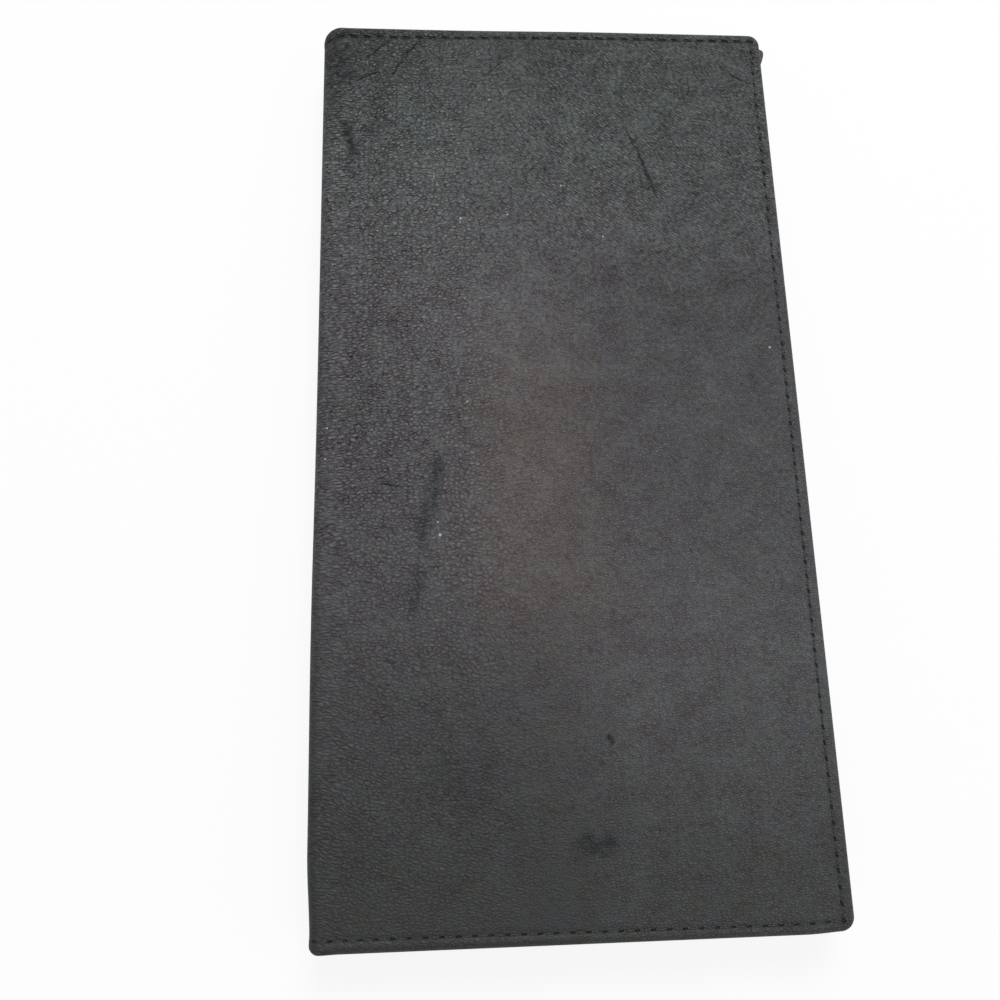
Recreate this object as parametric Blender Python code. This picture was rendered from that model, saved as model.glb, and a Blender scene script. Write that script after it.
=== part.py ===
"""A long bifold wallet of thin leather, closed and lying on its back half.

Metres, +Z up. The fold runs along Y at -X, the fore edge is at +X, and the ground is z = 0.
The origin is under the middle of the closed wallet.
"""

import math

import bmesh
import bpy
from mathutils import Matrix, Vector

# Outline of the closed wallet
LENGTH = 0.185
WIDTH = 0.095
BACK_STANDS_OUT = 0.0015  # the back half reaches this much further at the fore edge
CORNER_RADIUS = 0.0026
FOLD_RADIUS = 0.002
FOLD_END_RADIUS = 0.0025  # the two ends of the fold are rounded off in plan

# Room that every two neighbouring layers keep
CLEARANCE = 0.0003
MIDDLE_GAP = 0.0004

# Outer hide and what stiffens it
LEATHER = 0.0008
TURNED_LEATHER = 0.0006
HEM_WIDTH = 0.008
EDGE_FLAT = 0.00008  # left between the two roundings of a turned edge
BOARD = 0.0005
LINING = 0.0003
LINING_SET_IN = 0.0015
INNER_STARTS = 0.0024  # from the outside of the fold to where the inner layers begin

# Note pockets on the back half
DIVIDER = 0.0003
DIVIDER_MOUTH = 0.005
FACING_LEATHER = 0.0005
FACING_WIDTH = 0.008
PANEL_LEATHER = 0.0007
PANEL_MOUTH = 0.0145
PANEL_SET_IN = 0.0008
SCOOP_DEPTH = 0.007
SCOOP_WIDTH = 0.07

# Card slots on the front half
CARRIER = 0.0004
CARD_SIDE_SEAM = 0.0042  # from the outside of the fold to the card slots' sewn side
SLOT_COUNT = 8
SLOT_PITCH = 0.015
SLOT_LEATHER = 0.0005
SLOT_BAND_HEIGHT = 0.02
SLOT_CORNER = 0.0018
LAST_SLOT_HEIGHT = 0.0568
HEADER_TUCK = 0.008
TONGUE = 0.0002
TONGUE_REACH = 0.046  # from a slot's mouth to the bottom of its pocket
TONGUE_OVERLAP = 0.005
TONGUE_SIDE = 0.004  # a tongue is this much narrower than its band, at each side

# How finely the curves are cut
CORNER_STEPS = 6
SLOT_CORNER_STEPS = 3
FOLD_STEPS = 4
SCOOP_STEPS = 14
EDGE_SEGMENTS = 4
SMOOTH_UNDER = 35  # degrees between two faces that are shaded as one surface

# Depths, measured from each half's outer face towards the middle of the wallet
BOARD_DEPTH = LEATHER + CLEARANCE
LIP_DEPTH = BOARD_DEPTH + BOARD + CLEARANCE
COVER_DEPTH = LIP_DEPTH + TURNED_LEATHER
LINING_DEPTH = COVER_DEPTH + CLEARANCE
DIVIDER_DEPTH = LINING_DEPTH + LINING + CLEARANCE
PANEL_DEPTH = DIVIDER_DEPTH + DIVIDER + CLEARANCE
BACK_DEPTH = PANEL_DEPTH + max(PANEL_LEATHER, FACING_LEATHER)
CARRIER_DEPTH = LINING_DEPTH + LINING + CLEARANCE
SLOT_BASE = CARRIER_DEPTH + CARRIER + CLEARANCE
SLOT_STEP = SLOT_LEATHER + CLEARANCE
BAND_LIFT = TONGUE + CLEARANCE
HEADER_RISE = SLOT_LEATHER + CLEARANCE - BAND_LIFT
SLOT_CLIMB = SLOT_STEP * TONGUE_REACH / SLOT_PITCH
MOST_CLIMB = min(SLOT_CLIMB, HEADER_RISE + (SLOT_COUNT - 1) * SLOT_STEP)
FRONT_DEPTH = SLOT_BASE + MOST_CLIMB + BAND_LIFT + SLOT_LEATHER
THICKNESS = BACK_DEPTH + MIDDLE_GAP + FRONT_DEPTH

# Places along X and Y
FOLD_X = -(WIDTH + BACK_STANDS_OUT) / 2
FRONT_EDGE_X = FOLD_X + WIDTH
BACK_EDGE_X = FRONT_EDGE_X + BACK_STANDS_OUT
INNER_X = FOLD_X + INNER_STARTS
SLOT_BOTTOM_Y = PANEL_SET_IN - LENGTH / 2
FIRST_MOUTH_Y = SLOT_BOTTOM_Y + LAST_SLOT_HEIGHT + (SLOT_COUNT - 1) * SLOT_PITCH

# The two folds: each hinge line lies in the middle of the leather, halfway round its corner
LEATHER_MIDDLE = FOLD_RADIUS - LEATHER / 2
HINGE_IN = FOLD_RADIUS - LEATHER_MIDDLE * math.cos(math.radians(45))
COVER_STARTS = HINGE_IN + LEATHER / 2 + CLEARANCE
BACK_HINGE = Vector((FOLD_X + HINGE_IN, 0, HINGE_IN))
FRONT_HINGE = Vector((FOLD_X + HINGE_IN, 0, THICKNESS - HINGE_IN))

BEYOND = 0.004  # how far a cutter reaches past what it cuts
LEAST_CORNER = 0.0004
SAME_PLACE = 0.000001

BACK = 1
FRONT = -1
EDGE_X = {BACK: BACK_EDGE_X, FRONT: FRONT_EDGE_X}


def level(side, depth):
    """Height above the ground of a depth in the back or the front half."""
    return depth if side == BACK else THICKNESS - depth


def material(name, colour, roughness):
    made = bpy.data.materials.new(name)
    made.use_nodes = True
    shader = made.node_tree.nodes["Principled BSDF"]
    shader.inputs["Base Color"].default_value = (*colour, 1)
    shader.inputs["Roughness"].default_value = roughness
    shader.inputs["Metallic"].default_value = 0
    return made


OUTER_LEATHER = material("outer_leather", (0.068, 0.068, 0.070), 0.62)
INNER_LEATHER = material("inner_leather", (0.030, 0.029, 0.030), 0.55)
LINING_CLOTH = material("lining_cloth", (0.022, 0.022, 0.025), 0.85)
STIFFENER = material("stiffener", (0.33, 0.29, 0.24), 0.90)


def arc(centre, radius, start, end, steps):
    """Points on an arc, with its angles in degrees."""
    points = []
    for step in range(steps + 1):
        angle = math.radians(start + (end - start) * step / steps)
        points.append((centre[0] + radius * math.cos(angle), centre[1] + radius * math.sin(angle)))
    return points


def sheet_outline(side, start_x, set_in, scoop=0.0):
    """Plan of a sheet: two round corners at the fore edge, a straight or scooped side at the fold."""
    half = LENGTH / 2 - set_in
    edge = EDGE_X[side] - set_in
    radius = max(CORNER_RADIUS - set_in, LEAST_CORNER)
    points = [(start_x, -half)]
    points += arc((edge - radius, radius - half), radius, -90, 0, CORNER_STEPS)
    points += arc((edge - radius, half - radius), radius, 0, 90, CORNER_STEPS)
    points.append((start_x, half))
    if scoop:
        points += scoop_points(start_x, scoop)
    return points


def scoop_points(start_x, depth):
    """A shallow bell-shaped hollow in a pocket's mouth, where a thumb reaches in."""
    points = []
    for step in range(SCOOP_STEPS + 1):
        share = 2 * step / SCOOP_STEPS - 1
        hollow = depth * (1 + math.cos(math.pi * share)) / 2
        points.append((start_x + hollow, -share * SCOOP_WIDTH / 2))
    return points


def extruded(points, direction):
    """A bmesh of a flat outline pushed out along a direction."""
    mesh = bmesh.new()
    face = mesh.faces.new([mesh.verts.new(point) for point in points])
    grown = bmesh.ops.extrude_face_region(mesh, geom=[face])
    moved = [item for item in grown["geom"] if isinstance(item, bmesh.types.BMVert)]
    bmesh.ops.translate(mesh, vec=direction, verts=moved)
    bmesh.ops.recalc_face_normals(mesh, faces=mesh.faces)
    return mesh


def slab(outline, low, high):
    """A bmesh of a plan outline between two heights."""
    low, high = sorted((low, high))
    return extruded([(x, y, low) for x, y in outline], (0, 0, high - low))


def object_of(name, mesh, finish):
    """Puts a bmesh into the scene as a named piece."""
    data = bpy.data.meshes.new(name)
    mesh.to_mesh(data)
    mesh.free()
    data.materials.append(finish)
    data.shade_smooth()
    data.set_sharp_from_angle(angle=math.radians(SMOOTH_UNDER))
    made = bpy.data.objects.new(name, data)
    bpy.context.scene.collection.objects.link(made)
    return made


def cut(target, name, mesh, operation="DIFFERENCE"):
    """Cuts or joins a shape with a Boolean, and keeps the shape as a guide."""
    guide = object_of(name, mesh, STIFFENER)
    guide.hide_render = True
    guide.display_type = "WIRE"
    change = target.modifiers.new(name, "BOOLEAN")
    change.operation = operation
    change.solver = "EXACT"
    change.object = guide


def round_fore_edges(mesh, start_x, width, segments):
    """Rounds the long edges of a slab on its three sewn sides, and leaves its fold side square."""
    chosen = []
    for edge in mesh.edges:
        first, second = (vert.co for vert in edge.verts)
        flat = abs(first.z - second.z) < SAME_PLACE
        at_fold = max(first.x, second.x) < start_x + SAME_PLACE
        if flat and not at_fold:
            chosen.append(edge)
    bmesh.ops.bevel(
        mesh, geom=chosen, offset=width, segments=segments, profile=0.5, affect="EDGES", material=-1
    )


def cover(side, name):
    """Outer leather of one half, turned in over the board on three sides."""
    start = FOLD_X + COVER_STARTS
    mesh = slab(sheet_outline(side, start, 0), level(side, 0), level(side, COVER_DEPTH))
    round_fore_edges(mesh, start, (COVER_DEPTH - EDGE_FLAT) / 2, EDGE_SEGMENTS)
    made = object_of(name, mesh, OUTER_LEATHER)
    top = level(side, COVER_DEPTH + BEYOND)
    cut(made, name + "_fold_step", slab(step_outline(), level(side, LEATHER), top))
    slot = sheet_outline(side, FOLD_X - BEYOND, LEATHER)
    cut(made, name + "_board_slot", slab(slot, level(side, LEATHER), level(side, LIP_DEPTH)))
    window = sheet_outline(side, FOLD_X - BEYOND, HEM_WIDTH)
    middle = level(side, (LEATHER + LIP_DEPTH) / 2)
    cut(made, name + "_hem_window", slab(window, middle, top))
    round_fold_ends(made)
    return made


def round_fold_ends(made):
    """Rounds off both ends of the fold in plan."""
    for end, name in ((-1, "_fold_end_low"), (1, "_fold_end_high")):
        corner = slab(fold_end_outline(end), -BEYOND, THICKNESS + BEYOND)
        cut(made, made.name + name, corner)


def fold_end_outline(end):
    """Plan of the corner that is cut away at one end of the fold."""
    half = LENGTH / 2
    near = FOLD_X - BEYOND
    far = end * (half + BEYOND)
    centre = (FOLD_X + FOLD_END_RADIUS, end * (half - FOLD_END_RADIUS))
    points = arc(centre, FOLD_END_RADIUS, 180, 180 - 90 * end, CORNER_STEPS)
    return points + [(centre[0], far), (near, far), (near, centre[1])]


def step_outline():
    """Plan of the strip beside the fold where only the bare hide runs on."""
    far = LENGTH / 2 + BEYOND
    near = FOLD_X - BEYOND
    return [(near, -far), (INNER_X, -far), (INNER_X, far), (near, far)]


def sheet(side, name, start_x, set_in, depth, thickness, finish, scoop=0.0):
    """A flat layer of one half."""
    outline = sheet_outline(side, start_x, set_in, scoop)
    return object_of(name, slab(outline, level(side, depth), level(side, depth + thickness)), finish)


def board(side, name):
    """Stiffener that lies inside the cover's turned edge."""
    return sheet(side, name, INNER_X, LEATHER + CLEARANCE, BOARD_DEPTH, BOARD, STIFFENER)


def lining(side, name):
    """Cloth that covers the board and the raw edge of the hem."""
    return sheet(side, name, INNER_X, LINING_SET_IN, LINING_DEPTH, LINING, LINING_CLOTH)


def note_divider():
    """Cloth sheet between the two note pockets, open towards the fold."""
    start = FOLD_X + DIVIDER_MOUTH
    return sheet(BACK, "note_divider", start, LINING_SET_IN, DIVIDER_DEPTH, DIVIDER, LINING_CLOTH)


def divider_facing():
    """Leather strip along the mouth of the divider."""
    half = LENGTH / 2 - LINING_SET_IN
    near = FOLD_X + DIVIDER_MOUTH
    far = near + FACING_WIDTH
    outline = [(near, -half), (far, -half), (far, half), (near, half)]
    mesh = slab(outline, level(BACK, PANEL_DEPTH), level(BACK, PANEL_DEPTH + FACING_LEATHER))
    return object_of("divider_facing", mesh, INNER_LEATHER)


def note_panel():
    """Leather front of the note pockets, its mouth scooped for the thumb."""
    start = FOLD_X + PANEL_MOUTH
    return sheet(
        BACK, "note_panel", start, PANEL_SET_IN, PANEL_DEPTH, PANEL_LEATHER, INNER_LEATHER, SCOOP_DEPTH
    )


def card_carrier():
    """Cloth-covered sheet that carries the card slots; the gap behind it is a slip pocket."""
    return sheet(FRONT, "card_carrier", INNER_X, LINING_SET_IN, CARRIER_DEPTH, CARRIER, LINING_CLOTH)


def climb(number, below_mouth):
    """How high a slot's sheet lies over the carrier: it climbs over the sheets beneath it."""
    free = SLOT_STEP * (TONGUE_REACH - below_mouth) / SLOT_PITCH
    highest = HEADER_RISE + (number - 1) * SLOT_STEP
    return min(max(free, 0), highest)


def bend_places(number, start, end):
    """Distances below the mouth where a slot's sheet begins, bends and ends."""
    highest = HEADER_RISE + (number - 1) * SLOT_STEP
    level_until = TONGUE_REACH - highest * SLOT_PITCH / SLOT_STEP
    places = [start, end]
    for bend in (level_until, TONGUE_REACH):
        if start + CLEARANCE < bend < end - CLEARANCE:
            places.append(bend)
    return sorted(places)


def slot_sheet(name, number, start, end, lift, thickness, near_x, far_x, finish):
    """A sheet that follows the climb of its slot, pushed out along X, with rounded corners."""
    mouth = FIRST_MOUTH_Y - (number - 1) * SLOT_PITCH
    lower = []
    upper = []
    for below in bend_places(number, start, end):
        height = SLOT_BASE + lift + climb(number, below)
        lower.append((near_x, mouth - below, level(FRONT, height)))
        upper.append((near_x, mouth - below, level(FRONT, height + thickness)))
    mesh = extruded(lower + upper[::-1], (far_x - near_x, 0, 0))
    corners = []
    for edge in mesh.edges:
        first, second = (vert.co for vert in edge.verts)
        upright = max(abs(first.x - second.x), abs(first.y - second.y)) < SAME_PLACE
        if upright and min(abs(first.y - mouth + start), abs(first.y - mouth + end)) < SAME_PLACE:
            corners.append(edge)
    bmesh.ops.bevel(
        mesh,
        geom=corners,
        offset=SLOT_CORNER,
        segments=SLOT_CORNER_STEPS,
        profile=0.5,
        affect="EDGES",
        material=-1,
    )
    return object_of(name, mesh, finish)


def card_slot(number):
    """Leather band of one card slot; the lowest is a whole pocket front."""
    end = LAST_SLOT_HEIGHT if number == SLOT_COUNT else SLOT_BAND_HEIGHT
    return slot_sheet(
        f"card_slot_{number}",
        number,
        0,
        end,
        BAND_LIFT,
        SLOT_LEATHER,
        FOLD_X + CARD_SIDE_SEAM,
        FRONT_EDGE_X - PANEL_SET_IN,
        INNER_LEATHER,
    )


def slot_tongue(number):
    """Cloth tongue that hangs from a band and forms the pocket behind the next one."""
    return slot_sheet(
        f"slot_tongue_{number}",
        number,
        SLOT_BAND_HEIGHT - TONGUE_OVERLAP,
        TONGUE_REACH,
        0,
        TONGUE,
        FOLD_X + CARD_SIDE_SEAM + TONGUE_SIDE,
        FRONT_EDGE_X - PANEL_SET_IN - TONGUE_SIDE,
        LINING_CLOTH,
    )


def card_header():
    """Leather above the first card slot, tucked in behind its mouth."""
    near = FOLD_X + CARD_SIDE_SEAM
    far = FRONT_EDGE_X - PANEL_SET_IN
    low = FIRST_MOUTH_Y - HEADER_TUCK
    high = LENGTH / 2 - PANEL_SET_IN
    radius = SLOT_CORNER
    outline = [(near, low), (far, low)]
    outline += arc((far - radius, high - radius), radius, 0, 90, CORNER_STEPS)
    outline += [(near, high)]
    mesh = slab(outline, level(FRONT, SLOT_BASE), level(FRONT, SLOT_BASE + SLOT_LEATHER))
    return object_of("card_header", mesh, INNER_LEATHER)


def fold_wall(outer, thickness):
    """Section of the spine leather: from hinge line to hinge line, round both corners."""
    outside = FOLD_RADIUS - outer
    inside = outside - thickness
    low = (FOLD_X + FOLD_RADIUS, FOLD_RADIUS)
    high = (FOLD_X + FOLD_RADIUS, THICKNESS - FOLD_RADIUS)
    section = arc(low, outside, 225, 180, FOLD_STEPS)
    section += arc(high, outside, 180, 135, FOLD_STEPS)
    section += arc((FRONT_HINGE.x, FRONT_HINGE.z), thickness / 2, 135, -45, 2 * FOLD_STEPS)[1:-1]
    section += arc(high, inside, 135, 180, FOLD_STEPS)
    section += arc(low, inside, 180, 225, FOLD_STEPS)
    section += arc((BACK_HINGE.x, BACK_HINGE.z), thickness / 2, 45, -135, 2 * FOLD_STEPS)[1:-1]
    return section


def spine_cover():
    """Outer leather across the fold, with round long edges that turn in place on the hinge lines."""
    half = LENGTH / 2
    mesh = extruded([(x, -half, z) for x, z in fold_wall(0, LEATHER)], (0, LENGTH, 0))
    made = object_of("spine_cover", mesh, OUTER_LEATHER)
    for side, name in ((-1, "spine_hem_low"), (1, "spine_hem_high")):
        cut(made, name, spine_hem(side), "UNION")
    round_fold_ends(made)
    return made


def spine_hem(side):
    """The hide's turned end inside the fold."""
    near = FOLD_X + LEATHER / 2
    far = FOLD_X + LEATHER + TURNED_LEATHER
    low = INNER_STARTS
    high = THICKNESS - INNER_STARTS
    end = side * LENGTH / 2
    points = [(near, end, low), (far, end, low), (far, end, high), (near, end, high)]
    return extruded(points, (0, -side * HEM_WIDTH, 0))


def spine_lining():
    """Cloth inside the fold, between the two turned ends."""
    near = FOLD_X + LEATHER + CLEARANCE
    half = LENGTH / 2 - HEM_WIDTH - CLEARANCE
    outline = [(near, -half), (near + LINING, -half), (near + LINING, half), (near, half)]
    mesh = slab(outline, INNER_STARTS, THICKNESS - INNER_STARTS)
    return object_of("spine_lining", mesh, LINING_CLOTH)


def empty(name, place, parent=None):
    """Marks a hinge line; what hangs on it turns with it."""
    made = bpy.data.objects.new(name, None)
    made.location = place - parent.location if parent else place
    made.parent = parent
    bpy.context.scene.collection.objects.link(made)
    return made


def hang(pieces, axis, place):
    """Parents pieces to a hinge line without moving them."""
    for piece in pieces:
        piece.parent = axis
        piece.matrix_parent_inverse = Matrix.Translation(-place)


def clear_scene():
    for old in list(bpy.data.objects):
        bpy.data.objects.remove(old, do_unlink=True)


def build():
    clear_scene()
    cover(BACK, "back_cover")
    board(BACK, "back_board")
    lining(BACK, "back_lining")
    note_divider()
    divider_facing()
    note_panel()
    spine = [spine_cover(), spine_lining()]
    front = [cover(FRONT, "front_cover"), board(FRONT, "front_board"), lining(FRONT, "front_lining")]
    front += [card_carrier(), card_header()]
    front += [card_slot(number) for number in range(1, SLOT_COUNT + 1)]
    front += [slot_tongue(number) for number in range(1, SLOT_COUNT)]
    back_fold = empty("back_fold_line", BACK_HINGE)
    front_fold = empty("front_fold_line", FRONT_HINGE, back_fold)
    hang(spine, back_fold, BACK_HINGE)
    hang(front, front_fold, FRONT_HINGE)
    print(f"closed wallet {1000 * THICKNESS:.2f} mm thick, hinge lines at x {1000 * BACK_HINGE.x:.3f},")
    print(f"z {1000 * BACK_HINGE.z:.3f} and z {1000 * FRONT_HINGE.z:.3f} mm")


build()
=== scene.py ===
import math

import bmesh
import bpy
from mathutils import Euler, Matrix, Vector, noise


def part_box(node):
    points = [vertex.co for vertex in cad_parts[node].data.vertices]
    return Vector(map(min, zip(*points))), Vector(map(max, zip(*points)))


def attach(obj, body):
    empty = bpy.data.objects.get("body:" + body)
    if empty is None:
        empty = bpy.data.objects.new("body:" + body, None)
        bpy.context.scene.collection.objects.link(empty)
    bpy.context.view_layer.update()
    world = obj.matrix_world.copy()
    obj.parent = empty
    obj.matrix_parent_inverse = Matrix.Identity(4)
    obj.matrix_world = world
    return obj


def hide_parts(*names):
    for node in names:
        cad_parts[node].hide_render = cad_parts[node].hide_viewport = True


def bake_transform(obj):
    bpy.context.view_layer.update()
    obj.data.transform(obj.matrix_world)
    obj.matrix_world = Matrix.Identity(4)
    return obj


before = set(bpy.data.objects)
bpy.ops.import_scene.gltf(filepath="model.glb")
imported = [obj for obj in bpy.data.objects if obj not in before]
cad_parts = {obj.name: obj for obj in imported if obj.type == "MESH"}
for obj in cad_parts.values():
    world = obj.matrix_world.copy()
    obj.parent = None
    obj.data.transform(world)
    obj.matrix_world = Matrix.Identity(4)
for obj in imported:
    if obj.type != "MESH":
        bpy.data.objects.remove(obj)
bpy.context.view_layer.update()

bpy.context.scene.view_settings.view_transform = "Standard"


# Camera. The closed wallet is seen from nearly above, from a little below its middle and left of its
# fold, at the distance that gives its two long edges the lean they have in the photograph.

MM = 0.001
lens = bpy.data.cameras.new("photograph")
lens.lens = 36
lens.sensor_width = 36
lens.clip_start = 0.005
camera = bpy.data.objects.new("photograph", lens)
camera.location = Vector((-24.85, -62.45, 195.4)) * MM
camera.rotation_euler = Euler([math.radians(turn) for turn in (14.97, -3.22, -1.54)])
bpy.context.scene.collection.objects.link(camera)
bpy.context.scene.camera = camera


# The outer hide. One piece of soft charcoal cowhide with a fine pebbled grain wraps both halves and the
# fold. It is skived, turned in over the stiffeners on three sides of each half, and sewn 2 mm inside
# the edge. It is made as two shells that meet half way up the fold, each over one of its creases.

back_low, back_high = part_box("back_cover")
front_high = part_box("front_cover")[1]
spine_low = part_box("spine_cover")[0]

FOLD_X = spine_low.x
THICKNESS = front_high.z
LENGTH = back_high.y - back_low.y
HALF_LENGTH = LENGTH / 2
SKIN = 0.62 * MM
FOLD_RADIUS = 2.0 * MM
CORNER_RADIUS = 2.6 * MM
EDGE_ROLL = (back_high.z - back_low.z) / 2
FOLD_ROLL = 0.7 * MM
HEM = 8.0 * MM
HEM_AT_CORNER = 1.1 * MM
HIDE_BEND = ((3.5 * MM, 0), (0, 3.5 * MM))  # where the hide starts and ends to turn as the wallet opens

FORE_SEAM = 2.3 * MM  # stitch lines, measured in from the edges
TOP_SEAM = 2.2 * MM
TOP_SEAM_DRIFT = 0.55 * MM  # the line at the top strays this much further in at the fold
TOP_DRIFT_END = 70 * MM
BOTTOM_SEAM = 1.85 * MM
BOTTOM_SEAM_DRIFT = 0.4 * MM
BOTTOM_DRIFT_END = 90 * MM
SEAM_DEPTH = 0.15 * MM
SEAM_HALF_WIDTH = 0.5 * MM
FORE_STITCHES = 65
STITCH_PITCH = (LENGTH - TOP_SEAM - BOTTOM_SEAM) / FORE_STITCHES


def soft_step(value, low, high):
    """0 before low, 1 after high and a soft rise between them."""
    share = min(max((value - low) / (high - low), 0), 1)
    return share * share * (3 - 2 * share)


def bell(value, width):
    return math.exp(-((value / width) ** 2))


def evenly(start, end, size):
    """Places from start up to, and without, end, about size apart."""
    count = max(1, round((end - start) / size))
    return [start + (end - start) * step / count for step in range(count)]


class Half:
    """One half of the wallet, seen from the fold: across it, along it, and in from its outer face."""

    def __init__(self, body, width, is_front, crown):
        self.body = body
        self.width = width
        self.is_front = is_front
        self.crown = crown

    def place(self, across, along, depth):
        height = THICKNESS - depth if self.is_front else depth
        return Vector((FOLD_X + across, along, height))

    def out(self, across, along, depth):
        """A direction in the half's own terms as one in the frame."""
        return Vector((across, along, -depth if self.is_front else depth))


BACK = Half("back_half", back_high.x - FOLD_X, False, 0)
FRONT = Half("front_half", front_high.x - FOLD_X, True, 0.32 * MM)


def fold_section(across):
    """Point on the hide and its inward direction: level on the half, round the fold, up the spine."""
    round_start = FOLD_RADIUS * (1 - math.pi / 2)
    if across >= FOLD_RADIUS:
        return (across, 0.0), (0.0, 1.0)
    if across >= round_start:
        turn = (FOLD_RADIUS - across) / FOLD_RADIUS
        sine, cosine = math.sin(turn), math.cos(turn)
        return (FOLD_RADIUS - FOLD_RADIUS * sine, FOLD_RADIUS - FOLD_RADIUS * cosine), (sine, cosine)
    return (0.0, FOLD_RADIUS + round_start - across), (1.0, 0.0)


SPINE_MIDDLE = FOLD_RADIUS * (2 - math.pi / 2) - THICKNESS / 2


RING_FLAT = 5
RING_ROLL = 9
RING_HEM = 3
RING = RING_FLAT + RING_ROLL + RING_HEM


def turned_edge(ring, roll, hem):
    """How far out, how far in and how long along the hide a station of the turned edge lies."""
    level = CORNER_RADIUS - roll
    if ring <= RING_FLAT:
        out = level * ring / RING_FLAT
        return out, 0.0, out, 0.0
    if ring <= RING_FLAT + RING_ROLL:
        turn = math.pi * (ring - RING_FLAT) / RING_ROLL
        return level + roll * math.sin(turn), roll * (1 - math.cos(turn)), level + roll * turn, turn
    back = hem * (ring - RING_FLAT - RING_ROLL) / RING_HEM
    return level - back, 2 * roll, level + roll * math.pi + back, math.pi


def end_seam(across, end):
    """How far in from the top (1) or bottom (-1) edge the stitches run: they stray near the fold."""
    if end > 0:
        return TOP_SEAM + TOP_SEAM_DRIFT * (1 - soft_step(across, 0, TOP_DRIFT_END))
    return BOTTOM_SEAM + BOTTOM_SEAM_DRIFT * (1 - soft_step(across, 0, BOTTOM_DRIFT_END))


def seam_distance(half, across, along):
    """Signed distances in from the fore edge's and the nearer end's stitch line."""
    end = 1 if along > 0 else -1
    return half.width - across - FORE_SEAM, HALF_LENGTH - abs(along) - end_seam(across, end)


FOLD_END_START = -1.2 * MM  # the fold's ends are rounded from here across, the top one more
FOLD_END_WIDTH = {1: 4.2 * MM, -1: 1.3 * MM}
FOLD_END_DEPTH = {1: 2.3 * MM, -1: 0.5 * MM}
FORE_DRAWN_IN = {1: 0.7 * MM, -1: 0.3 * MM}  # the ends slope in a little towards the fore edge
TOP_WORN_IN = 0.35 * MM  # and the top one is worn shorter towards the fold
TOP_WORN_FULLY = 25 * MM  # across from the fold
TOP_NOT_WORN = 62 * MM
CORNER_WORN_IN = 0.4 * MM  # and the bottom one at its fore corner
CORNER_WORN_LENGTH = 9 * MM
ENDS_DRAWN_FROM = HALF_LENGTH - 24 * MM  # the hide is drawn in along it from here to its ends


def end_drawn_in(half, across, end):
    """How much shorter the hide is here: its ends are rounded at the fold and slope to the fore edge."""
    at_fold = 1 - soft_step(across, FOLD_END_START, FOLD_END_WIDTH[end])
    if end > 0:
        worn = TOP_WORN_IN * soft_step(-across, -TOP_NOT_WORN, -TOP_WORN_FULLY)
    else:
        worn = CORNER_WORN_IN * soft_step(across, half.width - CORNER_WORN_LENGTH, half.width)
    return FOLD_END_DEPTH[end] * at_fold + FORE_DRAWN_IN[end] * max(across, 0) / half.width + worn


def end_shift(half, across, along, reach):
    """How far a point moves along with its end; reach is how far from the wallet's middle it lies."""
    end = 1 if along > 0 else -1
    share = soft_step(reach, ENDS_DRAWN_FROM, HALF_LENGTH - CORNER_RADIUS)
    return -end * end_drawn_in(half, across, end) * share


BOW_OUT = 0.25 * MM  # the fold's edge bows out by this, about a place below the middle
BOW_PLACE = -38 * MM
BOW_LENGTH = 28 * MM
BOTTOM_IN = 0.65 * MM  # and is worn in at its bottom end
BOTTOM_IN_FROM = 76 * MM
BOW_REACH = 12 * MM  # across from the fold


def fold_bow(across, along):
    """How far the fold's edge strays from straight: out below the middle, in at its bottom end."""
    bow = BOW_OUT * bell(along - BOW_PLACE, BOW_LENGTH)
    bow -= BOTTOM_IN * soft_step(-along, BOTTOM_IN_FROM, BOTTOM_IN_FROM + 16 * MM)
    return -bow * soft_step(BOW_REACH - across, 0, 9 * MM)


SEAM_STOPS = (-0.6 * MM, 0.2 * MM)  # a line's groove fades out over this stretch where another crosses it
CROWN_BORDER = 22 * MM  # the crown rises over this width inside the seams, and over less at the fold
CROWN_AT_FOLD = 16 * MM
SLACK = 0.13 * MM  # how far the hide ripples on its board
PUFFED = 0.07 * MM  # how far its border is puffed up outside the seam


def relief(half, across, along):
    """Height of the hide's outer face over the flat: crown, slack, sewn groove and puffed border."""
    fore, end = seam_distance(half, across, along)
    groove = max(
        bell(fore, SEAM_HALF_WIDTH) * soft_step(end, *SEAM_STOPS),
        bell(end, SEAM_HALF_WIDTH) * soft_step(fore, *SEAM_STOPS) * soft_step(across, 0, 4 * MM),
    )
    height = -SEAM_DEPTH * groove
    if half.is_front:
        rise = soft_step(min(fore, end), 0.5 * MM, CROWN_BORDER) * soft_step(across, 0, CROWN_AT_FOLD)
        place = Vector((across, along, 0))
        ripple = noise.noise(place / (17 * MM)) + 0.5 * noise.noise(place / (8 * MM))
        height += half.crown * rise + SLACK * ripple * rise
        height += PUFFED * bell(min(fore, end) + 1.1 * MM, 0.8 * MM)
    return height


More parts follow.
